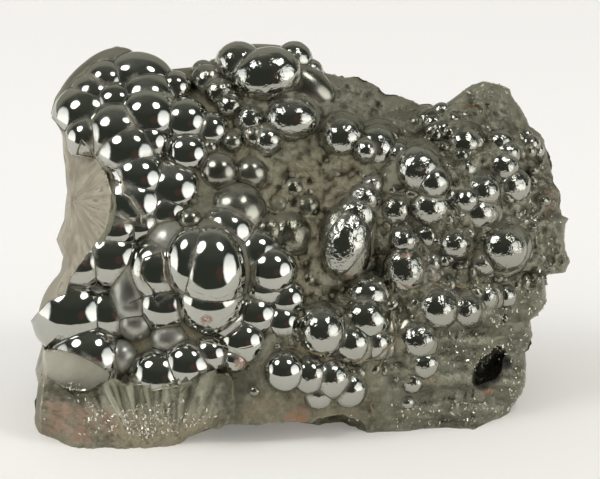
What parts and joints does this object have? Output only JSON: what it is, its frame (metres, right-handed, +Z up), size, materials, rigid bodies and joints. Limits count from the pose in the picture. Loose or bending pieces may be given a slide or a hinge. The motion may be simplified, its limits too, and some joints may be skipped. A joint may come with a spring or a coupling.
{
  "type": "hematite specimen",
  "caption": "Natural lump of kidney-ore iron oxide: mirror-smooth grown domes over a broken rock body that stands on a flat patch of its base.",
  "frame": {"origin": "middle of the bounding box's bottom face, on the surface the specimen stands on", "axes": "+X along the specimen's width, to the right as seen from the side with the domes; +Y from that side to the broken back; +Z up"},
  "size_m": [0.1089, 0.0547, 0.0722],
  "materials": {
    "hematite": "polished by nature on the domes, matte and broken elsewhere"
  },
  "bodies": {
    "root": {"hematite_specimen": "hematite"}
  },
  "joints": []
}
